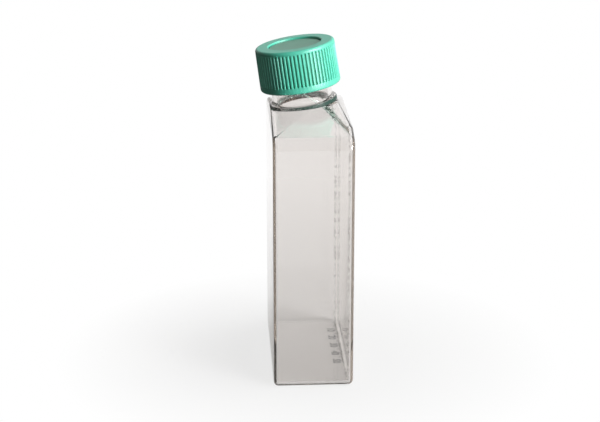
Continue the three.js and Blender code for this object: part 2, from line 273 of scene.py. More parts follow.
def keep(name, bm):
    """Turns an edit mesh into an object with outward faces."""
    bmesh.ops.recalc_face_normals(bm, faces=bm.faces)
    mesh = bpy.data.meshes.new(name)
    bm.to_mesh(mesh)
    bm.free()
    piece = bpy.data.objects.new(name, mesh)
    bpy.context.scene.collection.objects.link(piece)
    return piece


def turned(name, profile, steps=ROUND, ridge=None):
    """Turns (radius, height) points that start and end on the axis into a closed body."""
    bm = bmesh.new()
    rings = []
    for radius, height in profile:
        if radius == 0:
            rings.append([bm.verts.new((0, 0, height))])
            continue
        ring = []
        for i in range(steps):
            angle = 2 * math.pi * i / steps
            reach = radius + (ridge(radius, height, angle) if ridge else 0.0)
            ring.append(bm.verts.new((reach * math.cos(angle), reach * math.sin(angle), height)))
        rings.append(ring)
    for low, high in zip(rings, rings[1:]):
        for i in range(steps):
            j = (i + 1) % steps
            corners = [low[i % len(low)], low[j % len(low)], high[j % len(high)], high[i % len(high)]]
            bm.faces.new(list(dict.fromkeys(corners)))
    return keep(name, bm)


def rounded_hull(name, centres, radius, steps=40):
    """The hull of equal spheres on the centres."""
    offsets = {(0.0, 0.0, radius), (0.0, 0.0, -radius)}
    for i in range(1, steps // 2):
        tilt = 2 * math.pi * i / steps
        for j in range(steps):
            turn = 2 * math.pi * j / steps
            offsets.add((radius * math.sin(tilt) * math.cos(turn),
                         radius * math.sin(tilt) * math.sin(turn), radius * math.cos(tilt)))
    bm = bmesh.new()
    for centre in centres:
        for offset in sorted(offsets):
            bm.verts.new(centre + Vector(offset))
    bmesh.ops.remove_doubles(bm, verts=bm.verts, dist=1e-7)
    hull = bmesh.ops.convex_hull(bm, input=bm.verts)
    spare = {item for item in hull["geom_interior"] + hull["geom_unused"]
             if isinstance(item, bmesh.types.BMVert)}
    bmesh.ops.delete(bm, geom=list(spare), context="VERTS")
    return keep(name, bm)


def prism(name, outline, half_depth):
    """An XZ outline drawn out along Y to both sides."""
    bm = bmesh.new()
    near = [bm.verts.new((x, -half_depth, z)) for x, z in outline]
    far = [bm.verts.new((x, half_depth, z)) for x, z in outline]
    bm.faces.new(near)
    bm.faces.new(far)
    for i in range(len(outline)):
        j = (i + 1) % len(outline)
        bm.faces.new((near[i], near[j], far[j], far[i]))
    return keep(name, bm)


def combine(base, operation, tool):
    """Joins, cuts or intersects the base with the tool, and uses the tool up."""
    modifier = base.modifiers.new("combine", "BOOLEAN")
    modifier.operation = operation
    modifier.solver = "MANIFOLD"
    modifier.object = tool
    settled = base.evaluated_get(bpy.context.evaluated_depsgraph_get())
    mesh = bpy.data.meshes.new_from_object(settled)
    base.modifiers.clear()
    base.data = mesh
    if not mesh.polygons:
        raise RuntimeError(f"{base.name} is empty after {operation}")
    discard(tool)
    return base


def discard(piece):
    bpy.data.objects.remove(piece, do_unlink=True)


def placed(piece, matrix):
    piece.data.transform(matrix)
    return piece


def smooth(piece, crease_deg=32):
    """Smooths the rounded edges, keeps the flats flat and the real corners sharp."""
    same_spot = 2e-7
    flat = math.radians(0.06)
    bm = bmesh.new()
    bm.from_mesh(piece.data)
    bmesh.ops.remove_doubles(bm, verts=bm.verts, dist=same_spot)
    bmesh.ops.dissolve_limit(bm, angle_limit=flat, verts=bm.verts, edges=bm.edges)
    crease = math.radians(crease_deg)
    for face in bm.faces:
        face.smooth = True
    for edge in bm.edges:
        edge.smooth = len(edge.link_faces) == 2 and edge.calc_face_angle(0.0) < crease
    bm.to_mesh(piece.data)
    bm.free()
    modifier = piece.modifiers.new("even_normals", "WEIGHTED_NORMAL")
    modifier.mode = "FACE_AREA"
    modifier.weight = 100
    modifier.keep_sharp = True
    return piece


def thread_ridge(sizes, start, turns, outward):
    """How far a helical ridge moves its wall at a height and an angle."""
    flank = (sizes.root_width - sizes.crest_width) / 2

    def ridge(radius, height, angle):
        best = 0.0
        for lap in range(int(turns) + 1):
            turn = angle / (2 * math.pi) + lap
            if turn > turns:
                continue
            off = abs(height - start - sizes.pitch * turn) - sizes.crest_width / 2
            to_end = min(turn, turns - turn) * 2 * math.pi
            sunk = max(0.0, 1 - to_end / sizes.fade) * sizes.height
            stands = sizes.height * min(1.0, max(0.0, 1 - off / flank)) - sunk
            best = max(best, stands)
        return outward * best

    return ridge


def heights(low, high, step):
    """Even heights from low to high, about a step apart."""
    count = max(1, round((high - low) / step))
    return [low + (high - low) * i / count for i in range(count + 1)]


# ---------------------------------------------------------------------------------------------
# Materials
# ---------------------------------------------------------------------------------------------


class Value:
    """A socket of a finish, with arithmetic that adds Math nodes."""

    def __init__(self, finish, socket):
        self.finish = finish
        self.socket = socket

    def math(self, operation, *operands):
        return self.finish.node("ShaderNodeMath", {"operation": operation}, dict(enumerate(operands)))

    def __add__(self, other):
        return self.math("ADD", self, other)

    def __sub__(self, other):
        return self.math("SUBTRACT", self, other)

    def __rsub__(self, other):
        return self.math("SUBTRACT", other, self)

    def __mul__(self, other):
        return self.math("MULTIPLY", self, other)

    def __truediv__(self, other):
        return self.math("DIVIDE", self, other)

    def __pow__(self, other):
        return self.math("POWER", self, other)

    __radd__ = __add__
    __rmul__ = __mul__

    def most(self, other):
        return self.math("MAXIMUM", self, other)

    def size(self):
        return self.math("ABSOLUTE", self)


class Finish:
    """One material, or the world, as a node tree written in expressions."""

    def __init__(self, owner):
        owner.use_nodes = True
        self.owner = owner
        self.tree = owner.node_tree
        self.tree.nodes.clear()

    def node(self, kind, settings=None, inputs=None, output=0):
        """Adds a node: its settings first, then the values or links of its sockets."""
        node = self.tree.nodes.new(kind)
        for key, value in (settings or {}).items():
            if key == "stops":
                self.set_stops(node.color_ramp, value)
            else:
                setattr(node, key, value)
        for key, value in (inputs or {}).items():
            if isinstance(value, Value):
                self.tree.links.new(value.socket, node.inputs[key])
            else:
                node.inputs[key].default_value = value
        return Value(self, node.outputs[output]) if len(node.outputs) else None

    @staticmethod
    def set_stops(ramp, stops):
        while len(ramp.elements) < len(stops):
            ramp.elements.new(0.5)
        for element, (position, value) in zip(ramp.elements, stops):
            element.position = position
            element.color = (value, value, value, 1) if isinstance(value, float) else (*value, 1)

    def place(self, stretch=(1, 1, 1)):
        """The piece's own coordinates in metres, times a stretch."""
        spot = self.node("ShaderNodeTexCoord", output="Object")
        return self.node("ShaderNodeVectorMath", {"operation": "MULTIPLY"}, {0: spot, 1: stretch})

    def part(self, axis, vector=None):
        """One coordinate of a vector, by default of the piece's own coordinates."""
        vector = vector or self.place()
        return self.node("ShaderNodeSeparateXYZ", None, {0: vector}, output=axis)

    def reach(self, vector):
        """The length of a vector."""
        return self.node("ShaderNodeVectorMath", {"operation": "LENGTH"}, {0: vector}, output="Value")

    def off(self, origin):
        """The way from an origin to the spot on the piece."""
        return self.node("ShaderNodeVectorMath", {"operation": "SUBTRACT"},
                         {0: self.place(), 1: origin})

    def along(self, origin, way):
        """How far the spot lies from the origin along a way."""
        return self.node("ShaderNodeVectorMath", {"operation": "DOT_PRODUCT"},
                         {0: self.off(origin), 1: way}, output="Value")

    def noise(self, scale, detail=3.0, roughness=0.5, stretch=(1, 1, 1)):
        return self.node("ShaderNodeTexNoise", None, {
            "Vector": self.place(stretch), "Scale": scale, "Detail": detail, "Roughness": roughness,
        })

    def steps(self, value, *stops):
        """Reads a value through a ramp of (position, level) stops."""
        return self.node("ShaderNodeValToRGB", {"stops": stops}, {0: value})

    def mix(self, factor, first, second):
        return self.node("ShaderNodeMix", {"data_type": "RGBA"}, {
            0: factor, 6: as_colour(first), 7: as_colour(second),
        }, output=2)

    def attribute(self, name):
        return self.node("ShaderNodeAttribute", {"attribute_name": name}, output="Fac")

    def bump(self, height, distance, strength=1.0):
        return self.node("ShaderNodeBump", None, {
            "Strength": strength, "Distance": distance, "Height": height,
        })

    def light_path(self, output):
        return self.node("ShaderNodeLightPath", output=output)

    def seen_by_gloss_and_glass(self):
        return self.light_path("Is Glossy Ray").most(self.light_path("Is Transmission Ray"))

    def seen_by_gloss_alone(self):
        """Rays that a surface mirrors, without those that pass through it."""
        return self.light_path("Is Glossy Ray") * (1 - self.light_path("Is Transmission Ray"))

    def plastic(self, **sockets):
        """A Principled shader, with sockets named in the node's words, underscores as spaces."""
        return self.node("ShaderNodeBsdfPrincipled", None, {
            socket.replace("_", " "): value for socket, value in sockets.items()
        })

    def either(self, factor, first, second):
        """Mixes two shaders."""
        return self.node("ShaderNodeMixShader", None, {0: factor, 1: first, 2: second})

    def show(self, surface, volume=None):
        """Ends the material's tree and hands the material back."""
        inputs = {"Surface": surface}
        if volume:
            inputs["Volume"] = volume
        self.node("ShaderNodeOutputMaterial", None, inputs)
        return self.owner


def as_colour(value):
    return value if isinstance(value, Value) else (*value, 1)


def new_finish(name):
    return Finish(bpy.data.materials.new(name))


def shade(tone, factor):
    """A colour a little paler or darker."""
    return tuple(min(1.0, factor * part) for part in tone)


def weld_and_cap_reflection_depth(finish, layout, inset):
    """How much of the melted weld a spot holds along the slope of the seam, and round the neck ring
    how much painted reflection of the cap's dark underside.
    """
    start = 0.004  # height above the fold over which the weld sets in
    ring_height = 0.001
    body = layout.body
    corner, slope = layout.seam_line()
    aside = finish.along(corner, (1, 0, 0))
    across = finish.along(corner, (slope.z, 0, -slope.x))
    up_slope = finish.along(corner, (0, 0, 1)) / start
    up_slope = finish.steps(up_slope, (0.0, 0.0), (1.0, 1.0))
    off_seam = (aside.most(across) - inset).size() / body.seam_gap
    line = finish.steps(off_seam, (0.6, 1.0), (1.0, 0.0))
    # The ring: a dark green band painted round the foot of the neck, a painted reflection of the
    # cap's dark underside, a little more opaque towards +X.
    foot = layout.neck_frame.translation
    height = finish.along(foot, layout.neck_frame.col[2].to_3d())
    side = finish.along(foot, layout.neck_frame.col[0].to_3d()) / layout.ring_radius
    from_axis = (finish.reach(finish.off(foot)) ** 2 - height ** 2) ** 0.5
    out = (from_axis - layout.ring_radius).size() / (2 * body.seam_gap)
    collar = finish.steps(height.size() / ring_height, (0.75, 1.0), (1.0, 0.0))
    ring = finish.steps(out, (0.6, 1.0), (1.0, 0.0)) * collar
    ring = ring * finish.steps(0.5 + 0.5 * side, (0.2, 0.85), (0.55, 1.0))
    return line * up_slope, ring


def clear_plastic(name, colours, layout, inset, bottom_wear):
    """Clear moulded polystyrene with the melted weld and a painted reflection of the cap round the
    neck ring: flow waves, and scuffs mostly near the base.
    """
    base_band = 0.012  # height of the band with more wear
    finish = new_finish(name)
    line, ring = weld_and_cap_reflection_depth(finish, layout, inset)
    runs = finish.noise(600.0, 2.0, 0.6)
    dashes = finish.steps(runs, (0.50, 0.0), (0.56, 1.0))
    # Opaque share: the weld's dashes along the seam, and the painted reflection of the cap round the
    # ring.
    thick = (line * (0.26 + 0.62 * dashes)).most(ring * (0.9 + 0.1 * dashes))
    flow = finish.noise(18.0, 2.0, 0.4, (1, 1, 0.35))
    haze = finish.noise(90.0, 4.0, 0.6, (1, 1, 0.5))
    scuffs = finish.steps(finish.noise(900.0, 2.0, 0.7, (1, 1, 0.12)), (0.62, 0.0), (0.78, 1.0))
    near_base = finish.steps(finish.part("Z") / base_band, (0.0, 1.0), (1.0, 0.0))
    tint = finish.mix(finish.steps(flow, (0.3, 0.0), (0.75, 1.0)), colours.clear, colours.clear_flow)
    roughness = 0.008 + 0.014 * haze + 0.03 * scuffs * haze + bottom_wear * near_base * haze
    roughness = roughness + 0.12 * line
    ripple = finish.bump(flow, 0.00016, 0.5)
    clear = finish.plastic(
        Base_Color=tint, Roughness=roughness, IOR=1.59, Transmission_Weight=1.0, Normal=ripple,
    )
    open_to_lamps = finish.node("ShaderNodeBsdfTransparent", None, {"Color": (0.93, 0.93, 0.93, 1)})
    # Dark green where the weld is thick, and all round the ring, where it is a painted reflection of
    # the cap.
    green = finish.mix(dashes.most(finish.steps(ring, (0.0, 0.0), (0.1, 1.0))),
                       colours.weld_pale, colours.weld_dark_and_cap_reflection)
    melted = finish.plastic(Base_Color=green, Roughness=0.42 + 0.2 * haze, IOR=1.4)
    body = finish.either(thick, clear, melted)
    surface = finish.either(finish.light_path("Is Shadow Ray"), body, open_to_lamps)
    depth = finish.node("ShaderNodeVolumeAbsorption", None, {
        "Color": as_colour(colours.depth_tint), "Density": 26.0,
    })
    return finish.show(surface, depth)


def cap_plastic(name, colours):
    """Satin moulded plastic: darker in the grooves as painted shade, paler on the crests of the ribs
    as a painted highlight; the crests are also smoother.
    """
    finish = new_finish(name)
    crest = finish.attribute("crest")
    mottle = finish.noise(260.0, 4.0, 0.6)
    grain = finish.noise(5200.0, 2.0, 0.6)
    tone = finish.mix(finish.steps(mottle, (0.25, 0.0), (0.8, 1.0)), colours.cap,
                      shade(colours.cap, 0.88))
    # Painted highlight and shade: crests mix towards the paler crest colour, grooves keep the dark
    # cap colour.
    body = finish.mix(crest * (0.55 + 0.4 * mottle), tone, colours.cap_crest_highlight)
    roughness = 0.48 - 0.12 * crest + 0.08 * grain
    texture = finish.bump(grain + 2.0 * mottle, 0.00003, 0.6)
    return finish.show(finish.plastic(
        Base_Color=body, Roughness=roughness, Normal=texture, IOR=1.5, Specular_IOR_Level=1.0,
    ))


def seal_plastic(name, colours):
    """Matt moulded insert, with faint turned tool marks on its face."""
    finish = new_finish(name)
    ring_rate = 14000.0  # radians for each metre out, a mark every 0.45 mm
    swing = finish.reach(finish.place((1, 1, 0))) * ring_rate
    rings = swing.math("SINE", swing)
    mottle = finish.noise(300.0, 4.0, 0.6)
    tone = finish.mix(mottle, shade(colours.seal, 0.86), shade(colours.seal, 1.12))
    texture = finish.bump(rings * 0.4 + mottle, 0.00002, 0.7)
    return finish.show(finish.plastic(
        Base_Color=tone, Roughness=0.5 + 0.12 * mottle, Normal=texture, IOR=1.5,
    ))


def weld_plastic(name, colours, fold_z):
    """Plastic melted in the weld: thick dark dashes up the slope, hardly seen down the sides."""
    finish = new_finish(name)
    blend = 0.004  # each side of the fold
    up_slope = (finish.part("Z") - (fold_z - blend)) / (2 * blend)
    up_slope = finish.steps(up_slope, (0.2, 0.0), (0.7, 1.0))
    runs = finish.noise(420.0, 3.0, 0.65)
    thick = finish.steps(runs, (0.50, 0.0), (0.60, 1.0))
    tone = finish.mix(thick, colours.weld_pale, colours.weld_dark_and_cap_reflection)
    tone = finish.mix(up_slope, (0.34, 0.30, 0.27), tone)
    seen = up_slope * (0.08 + 0.6 * thick) + (1 - up_slope) * (0.06 + 0.2 * thick)
    texture = finish.bump(runs, 0.00005, 0.6)
    return finish.show(finish.plastic(
        Base_Color=tone, Roughness=0.22 + 0.2 * runs, Alpha=seen, Normal=texture, IOR=1.59,
    ))


def printed_ink(name, colours):
    """Screen-printed ink, a little thin in places."""
    finish = new_finish(name)
    thin = finish.noise(4200.0, 3.0, 0.6)
    tone = finish.mix(finish.steps(thin, (0.45, 0.0), (0.75, 1.0)), colours.ink,
                      tuple(part + 0.12 for part in colours.ink))
    return finish.show(finish.plastic(Base_Color=tone, Roughness=0.45 + 0.2 * thin))


# ---------------------------------------------------------------------------------------------
# Pieces
# ---------------------------------------------------------------------------------------------


def finish_piece(piece, material, body, slot, *nodes):
    piece.data.materials.clear()
    piece.data.materials.append(material)
    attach(piece, body)
    if nodes:
        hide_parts(*nodes)


def hollow_body(layout):
    """The closed outside and the cavity of the flask body."""
    centres = layout.body_centres()
    radius = layout.body.edge_radius
    outside = rounded_hull("outside", centres, radius)
    cavity = rounded_hull("cavity", centres, radius - layout.body.wall, steps=24)
    return outside, cavity


def growth_side(layout, inset):
    """Everything on the growth plate's side of the weld line, moved in by the inset."""
    body = layout.body
    corner, way = layout.seam_line()
    seam_x, fold_z = corner.x, corner.z
    meet = layout.neck_frame @ Vector((body.seam_meet, 0, 0))
    slope = way.z / way.x
    slope_inset = inset * math.hypot(1, 1 / slope)
    beyond = 0.012
    far = body.thickness / 2 + beyond
    return prism("growth_side", [
        (seam_x + inset, -beyond),
        (far, -beyond),
        (far, meet.z + beyond),
        (meet.x - beyond + slope_inset, meet.z - slope * beyond),
        (seam_x + inset, fold_z + slope * (inset - slope_inset)),
    ], body.width)


def neck_zone(layout, margin):
    """What lies within the neck ring, a rounded edge deep."""
    radius = layout.ring_radius + margin
    depth = 2 * layout.body.edge_radius + margin
    top = layout.cap_top
    zone = turned("neck_zone", [(0, -depth), (radius, -depth), (radius, top), (0, top)])
    return placed(zone, layout.neck_frame)


def neck_outside(layout):
    neck, body = layout.neck, layout.body
    foot = neck.ring_height
    top = foot + neck.fillet
    ring, root, lip = layout.ring_radius, neck.root_radius, neck.lip_round
    thread = layout.thread
    profile = [(0, -body.edge_radius), (ring, -body.edge_radius)]
    profile += arc(ring - lip, foot - lip, lip, 0, 90, 6)
    corner_deg = 18  # at which the fillet meets the ring's flat top
    profile += arc(root + neck.fillet, top, neck.fillet, 270 - corner_deg, 180, 12)
    rows_from = top + 0.0004
    profile += [(root, z) for z in heights(rows_from, neck.length - lip, THREAD_STEP)]
    profile += arc(root - lip, neck.length - lip, lip, 0, 90, 6)[1:]
    profile += [(0, neck.length)]
    ridge = thread_ridge(thread, thread.neck_start, thread.neck_turns, 1)

    def on_wall(radius, height, angle):
        return ridge(radius, height, angle) if radius == root else 0.0

    return placed(turned("neck_outside", profile, ridge=on_wall), layout.neck_frame)


def neck_bore(layout):
    neck, body = layout.neck, layout.body
    above = neck.length + 0.001
    below = -2 * body.edge_radius
    bore, wide = layout.neck_bore, layout.neck_bore + neck.flare
    profile = [
        (0, below), (wide, below), (wide, -body.wall), (bore, neck.flare), (bore, above), (0, above),
    ]
    return placed(turned("neck_bore", profile), layout.neck_frame)


class FLASK_OT_shell(bpy.types.Operator):
    """Build the moulded shell: walls, shoulders, neck ring, neck and thread in one piece"""

    bl_idname = "flask.shell"
    bl_label = "Shell"

    def execute(self, context):
        layout = Layout(context.scene)
        outside, cavity = hollow_body(layout)
        combine(outside, "UNION", neck_outside(layout))
        combine(outside, "DIFFERENCE", cavity)
        combine(outside, "DIFFERENCE", neck_bore(layout))
        side = combine(growth_side(layout, 0), "DIFFERENCE", neck_zone(layout, 0))
        shell = combine(outside, "DIFFERENCE", side)
        shell.name = "clear_shell"
        smooth(shell)
        material = clear_plastic("clear_polystyrene", context.scene.flask_colours, layout, 0.0, 0.04)
        finish_piece(shell, material, "flask", "clear_polystyrene", "flask_shell")
        return {"FINISHED"}


class FLASK_OT_growth_plate(bpy.types.Operator):
    """Build the growth plate with its ramp, which closes the open side of the shell"""

    bl_idname = "flask.growth_plate"
    bl_label = "Growth plate"

    def execute(self, context):
        layout = Layout(context.scene)
        outside, cavity = hollow_body(layout)
        combine(outside, "DIFFERENCE", cavity)
        combine(outside, "INTERSECT", growth_side(layout, layout.body.seam_gap))
        plate = combine(outside, "DIFFERENCE", neck_zone(layout, layout.body.seam_gap))
        plate.name = "clear_growth_plate"
        smooth(plate)
        material = clear_plastic("growth_face_polystyrene", context.scene.flask_colours, layout,
                                 layout.body.seam_gap, 0.03)
        finish_piece(plate, material, "flask", "growth_face_polystyrene", "growth_plate")
        return {"FINISHED"}


class FLASK_OT_weld(bpy.types.Operator):
    """Build the bead of melted plastic in the weld between the shell and the growth plate"""

    bl_idname = "flask.weld"
    bl_label = "Weld bead"

    def execute(self, context):
        layout = Layout(context.scene)
        body, trim = layout.body, layout.trim
        centres = layout.body_centres()
        inner = body.edge_radius - body.wall

        def strip(outer, core, low, high):
            ring = rounded_hull("weld_bead", centres, outer)
            combine(ring, "DIFFERENCE", rounded_hull("core", centres, core))
            combine(ring, "INTERSECT", growth_side(layout, low))
            return combine(ring, "DIFFERENCE", growth_side(layout, high))

        bead = strip(body.edge_radius, inner - trim.bead_inside / 2,
                     trim.bead_play, body.seam_gap - trim.bead_play)
        combine(bead, "UNION", strip(inner - trim.bead_play, inner - trim.bead_inside,
                                     -trim.bead_lap, body.seam_gap + trim.bead_lap))
        combine(bead, "DIFFERENCE", neck_zone(layout, body.seam_gap))
        smooth(bead)
        material = weld_plastic("welded_polystyrene", context.scene.flask_colours,
                                layout.fold_centre().z)
        finish_piece(bead, material, "flask", "clear_polystyrene")
        return {"FINISHED"}


class FLASK_OT_rule(bpy.types.Operator):
    """Print a plain millimetre rule under the base, along the growth plate"""

    bl_idname = "flask.rule"
    bl_label = "Printed rule"

    def execute(self, context):
        layout = Layout(context.scene)
        body, trim = layout.body, layout.trim
        middle = body.thickness / 2 - trim.rule_from_face
        foot = body.width / 2 - trim.rule_start
        bm = bmesh.new()
        millimetre = 0.001
        long_tick, short_tick = (0.0016, 0.0006), (0.0009, 0.00025)
        tick_foot = middle + 0.0030
        digit_middle = middle - 0.0004
        for mark in range(trim.rule_length + 1):
            reach, line = long_tick if mark % 5 == 0 else short_tick
            centre = Vector((tick_foot - reach / 2, foot - millimetre * mark, 0))
            bar = Matrix.Translation(centre) @ Matrix.Diagonal((reach, line, 1, 1))
            bmesh.ops.create_cube(bm, size=1.0, matrix=bar)
        for mark in range(10, trim.rule_length + 1, 10):
            digits = self.digits(str(mark), trim.digit_height)
            spot = Matrix.Translation((digit_middle, foot - millimetre * mark, 0))
            digits.transform(spot @ Matrix.Rotation(math.radians(-90), 4, "Z"))
            bm.from_mesh(digits)
        for vert in bm.verts:
            vert.co.z = math.copysign(trim.ink_thickness / 2, vert.co.z) - 1.5 * trim.ink_thickness
        piece = keep("printed_rule", bm)
        finish_piece(piece, printed_ink("print_ink", context.scene.flask_colours),
                     "flask", "clear_polystyrene")
        return {"FINISHED"}

    def digits(self, text, height):
        """A mesh of bold upright numbers in the XY plane, centred on the origin."""
        size_for_height = 1.4
        curve = bpy.data.curves.new("digits", "FONT")
        curve.body = text
        curve.size = size_for_height * height
        curve.align_x = "CENTER"
        curve.align_y = "CENTER"
        curve.extrude = 0.0001
        curve.offset = 0.0002
        curve.resolution_u = 4
        holder = bpy.data.objects.new("digits", curve)
        bpy.context.scene.collection.objects.link(holder)
        settled = holder.evaluated_get(bpy.context.evaluated_depsgraph_get())
        mesh = bpy.data.meshes.new_from_object(settled)
        discard(holder)
        return mesh


def ringed_body(name, rows, grip):
    """Closes rows of (radius, height, samples, ribbed share) into a ring-shaped body.

    Neighbouring rows may have different numbers of samples, one a multiple of the other.
    """
    bm = bmesh.new()
    # crest: how much of a rib's crest each vertex is; the cap's finish paints crests paler as a
    # painted highlight and grooves darker as painted shade.
    crest = bm.verts.layers.float.new("crest")
    rings = []
    for radius, height, samples, ribbed in rows:
        ring = []
        for i in range(samples):
            angle = 2 * math.pi * i / samples
            reach, stands = grip(radius, height, angle, ribbed)
            vert = bm.verts.new((reach * math.cos(angle), reach * math.sin(angle), height))
            vert[crest] = stands
            ring.append(vert)
        rings.append(ring)
    for ring, following in zip(rings, rings[1:] + rings[:1]):
        fine, coarse = (ring, following) if len(ring) >= len(following) else (following, ring)
        ratio = len(fine) // len(coarse)
        for i in range(len(coarse)):
            j = (i + 1) % len(coarse)
            for k in range(ratio):
                a, b = fine[i * ratio + k], fine[(i * ratio + k + 1) % len(fine)]
                if ratio == 1:
                    bm.faces.new((a, b, coarse[j], coarse[i]))
                else:
                    bm.faces.new((a, b, coarse[i]))
            if ratio > 1:
                bm.faces.new((fine[(i * ratio + ratio) % len(fine)], coarse[j], coarse[i]))
    return keep(name, bm)


class FLASK_OT_cap(bpy.types.Operator):
    """Build the ribbed screw cap with its window and inner thread"""

    bl_idname = "flask.cap"
    bl_label = "Screw cap"

    def execute(self, context):
        layout = Layout(context.scene)
        cap, thread = layout.cap, layout.thread
        per_rib = 12
        fine = cap.ribs * per_rib
        coarse = fine // 4
        band_top = cap.gap + cap.band_height
        grip_top = layout.cap_top - cap.rib_margin
        edge_foot = layout.cap_top - cap.edge_radius
        window_edge = cap.window_radius + cap.window_chamfer
        margin = 0.0004  # flat strip beside the window's and the bore's edge
        start, scoop = 0.0003, 0.0006  # over which a groove deepens at its foot and at its top

        def taper(height):
            along = (height - band_top) / (edge_foot - band_top)
            return cap.band_radius + along * (cap.top_radius - cap.band_radius)

        def ease(t):
            t = min(1.0, max(0.0, t))
            return t * t * (3 - 2 * t)

        rows = [(cap.bore_radius + cap.mouth_chamfer, cap.gap, fine, 0.0)]
        rows += [(r, z, fine, 0.0) for r, z in arc(
            cap.band_radius - cap.band_round, cap.gap + cap.band_round, cap.band_round, -90, 0, 8)]
        rows.append((cap.band_radius, band_top - 0.0002, fine, 0.0))
        # closer rows where the grooves start and end
        extra = [band_top + z for z in (0.0001, 0.0002, start)]
        extra += [grip_top - z for z in (0.0005, 0.0003, 0.00015)]
        for height in sorted(heights(band_top, grip_top, GRIP_STEP) + extra):
            ribbed = ease((height - band_top) / start) * ease((grip_top - height) / scoop)
            rows.append((taper(height), height, fine, ribbed))
        rows += [(r, z, fine, 0.0) for r, z in arc(
            cap.top_radius - cap.edge_radius, edge_foot, cap.edge_radius, 0, 90, 10)]
        rows.append((window_edge + margin, layout.cap_top, coarse, 0.0))
        rows += [(r, z, coarse, 0.0) for r, z in arc(
            window_edge, layout.cap_top - cap.window_chamfer, cap.window_chamfer, 90, 180, 6)]
        rows.append((cap.window_radius, layout.ceiling, coarse, 0.0))
        rows.append((cap.bore_radius - margin, layout.ceiling, coarse, 0.0))
        skirt = heights(cap.gap + cap.mouth_chamfer, layout.ceiling - margin, CAP_THREAD_STEP)
        rows += [(cap.bore_radius, z, coarse, 0.0) for z in reversed(skirt)]
        ridge = thread_ridge(thread, thread.cap_start, thread.cap_turns, -1)
        half_crest, half_floor = cap.rib_land / 2, cap.groove_land / 2

        def grip(radius, height, angle, ribbed):
            if radius == cap.bore_radius:
                return radius + ridge(radius, height, angle), 0.0
            from_groove = abs(angle * cap.ribs / (2 * math.pi) % 1.0 - 0.5)
            cut = ease((0.5 - half_crest - from_groove) / (0.5 - half_crest - half_floor))
            reach = radius - ribbed * cut * (radius - cap.groove_radius)
            # The second value feeds the crest attribute: 1 on crests, 0 in grooves, 0.6 on the plain
            # rim and band, for the painted highlight and shade.
            return reach, ribbed * (1 - cut) + 0.6 * (1 - ribbed)

        piece = ringed_body("ribbed_cap", rows, grip)
        smooth(piece, 40)
        piece.matrix_world = layout.neck_frame
        material = cap_plastic("cap_plastic", context.scene.flask_colours)
        finish_piece(piece, material, "cap", "cap_plastic", "screw_cap")
        return {"FINISHED"}


class FLASK_OT_seal(bpy.types.Operator):
    """Build the plug seal that lies under the window of the cap"""

    bl_idname = "flask.seal"
    bl_label = "Plug seal"

    def execute(self, context):
        layout = Layout(context.scene)
        seal, cap = layout.seal, layout.cap
        face = layout.cap_top - seal.recess
        face_radius = cap.window_radius - seal.clearance
        flange = cap.bore_radius - seal.edge_clearance
        plug = layout.neck_bore - seal.clearance
        under, top = layout.seal_underside, layout.seal_top
        end = under - seal.plug_length
        soft = 0.00015
        profile = [(0, under), (plug - seal.plug_wall - soft, under)]
        profile += [(plug - seal.plug_wall, under - soft), (plug - seal.plug_wall, end + soft)]
        profile += [(plug - seal.plug_wall + soft, end), (plug - seal.plug_chamfer, end)]
        profile += [(plug, end + seal.plug_chamfer), (plug, under - soft), (plug + soft, under)]
        profile += arc(flange - soft, under + soft, soft, -90, 0, 3)
        profile += arc(flange - soft, top - soft, soft, 0, 90, 3)
        profile += [(face_radius, top)]
        profile += arc(face_radius - 2 * soft, face - 2 * soft, 2 * soft, 0, 90, 5)
        profile += [(0, face)]
        piece = smooth(turned("seal_insert", profile), 40)
        piece.matrix_world = layout.neck_frame
        material = seal_plastic("seal_plastic", context.scene.flask_colours)
        finish_piece(piece, material, "seal", "seal_plastic", "plug_seal")
        return {"FINISHED"}


# ---------------------------------------------------------------------------------------------
# Stage
# ---------------------------------------------------------------------------------------------


FLOOR_HALF = 6.0
UNDER_FOOT = 0.0001  # the floor lies this far below the base
LIT_ROOM = ((0.30, 0.26, 0.23), (0.52, 0.48, 0.44))  # left and right, as gloss and glass see it
OVERHEAD = (0.40, 0.39, 0.38)
FILL = ((0.01, 0.01, 0.01), (0.16, 0.16, 0.16))  # left and right, on matt surfaces
WHITE = (1.0, 1.0, 1.0)
DARK_FLOOR = (0.10, 0.10, 0.09)
CAMERA_LENS = 96.0
CAMERA_AZIMUTH = math.radians(-3.5)
CAMERA_DISTANCE = 0.72
CAMERA_HEIGHT = 0.30
CAMERA_TARGET = Vector((-0.004, 0, 0.072))


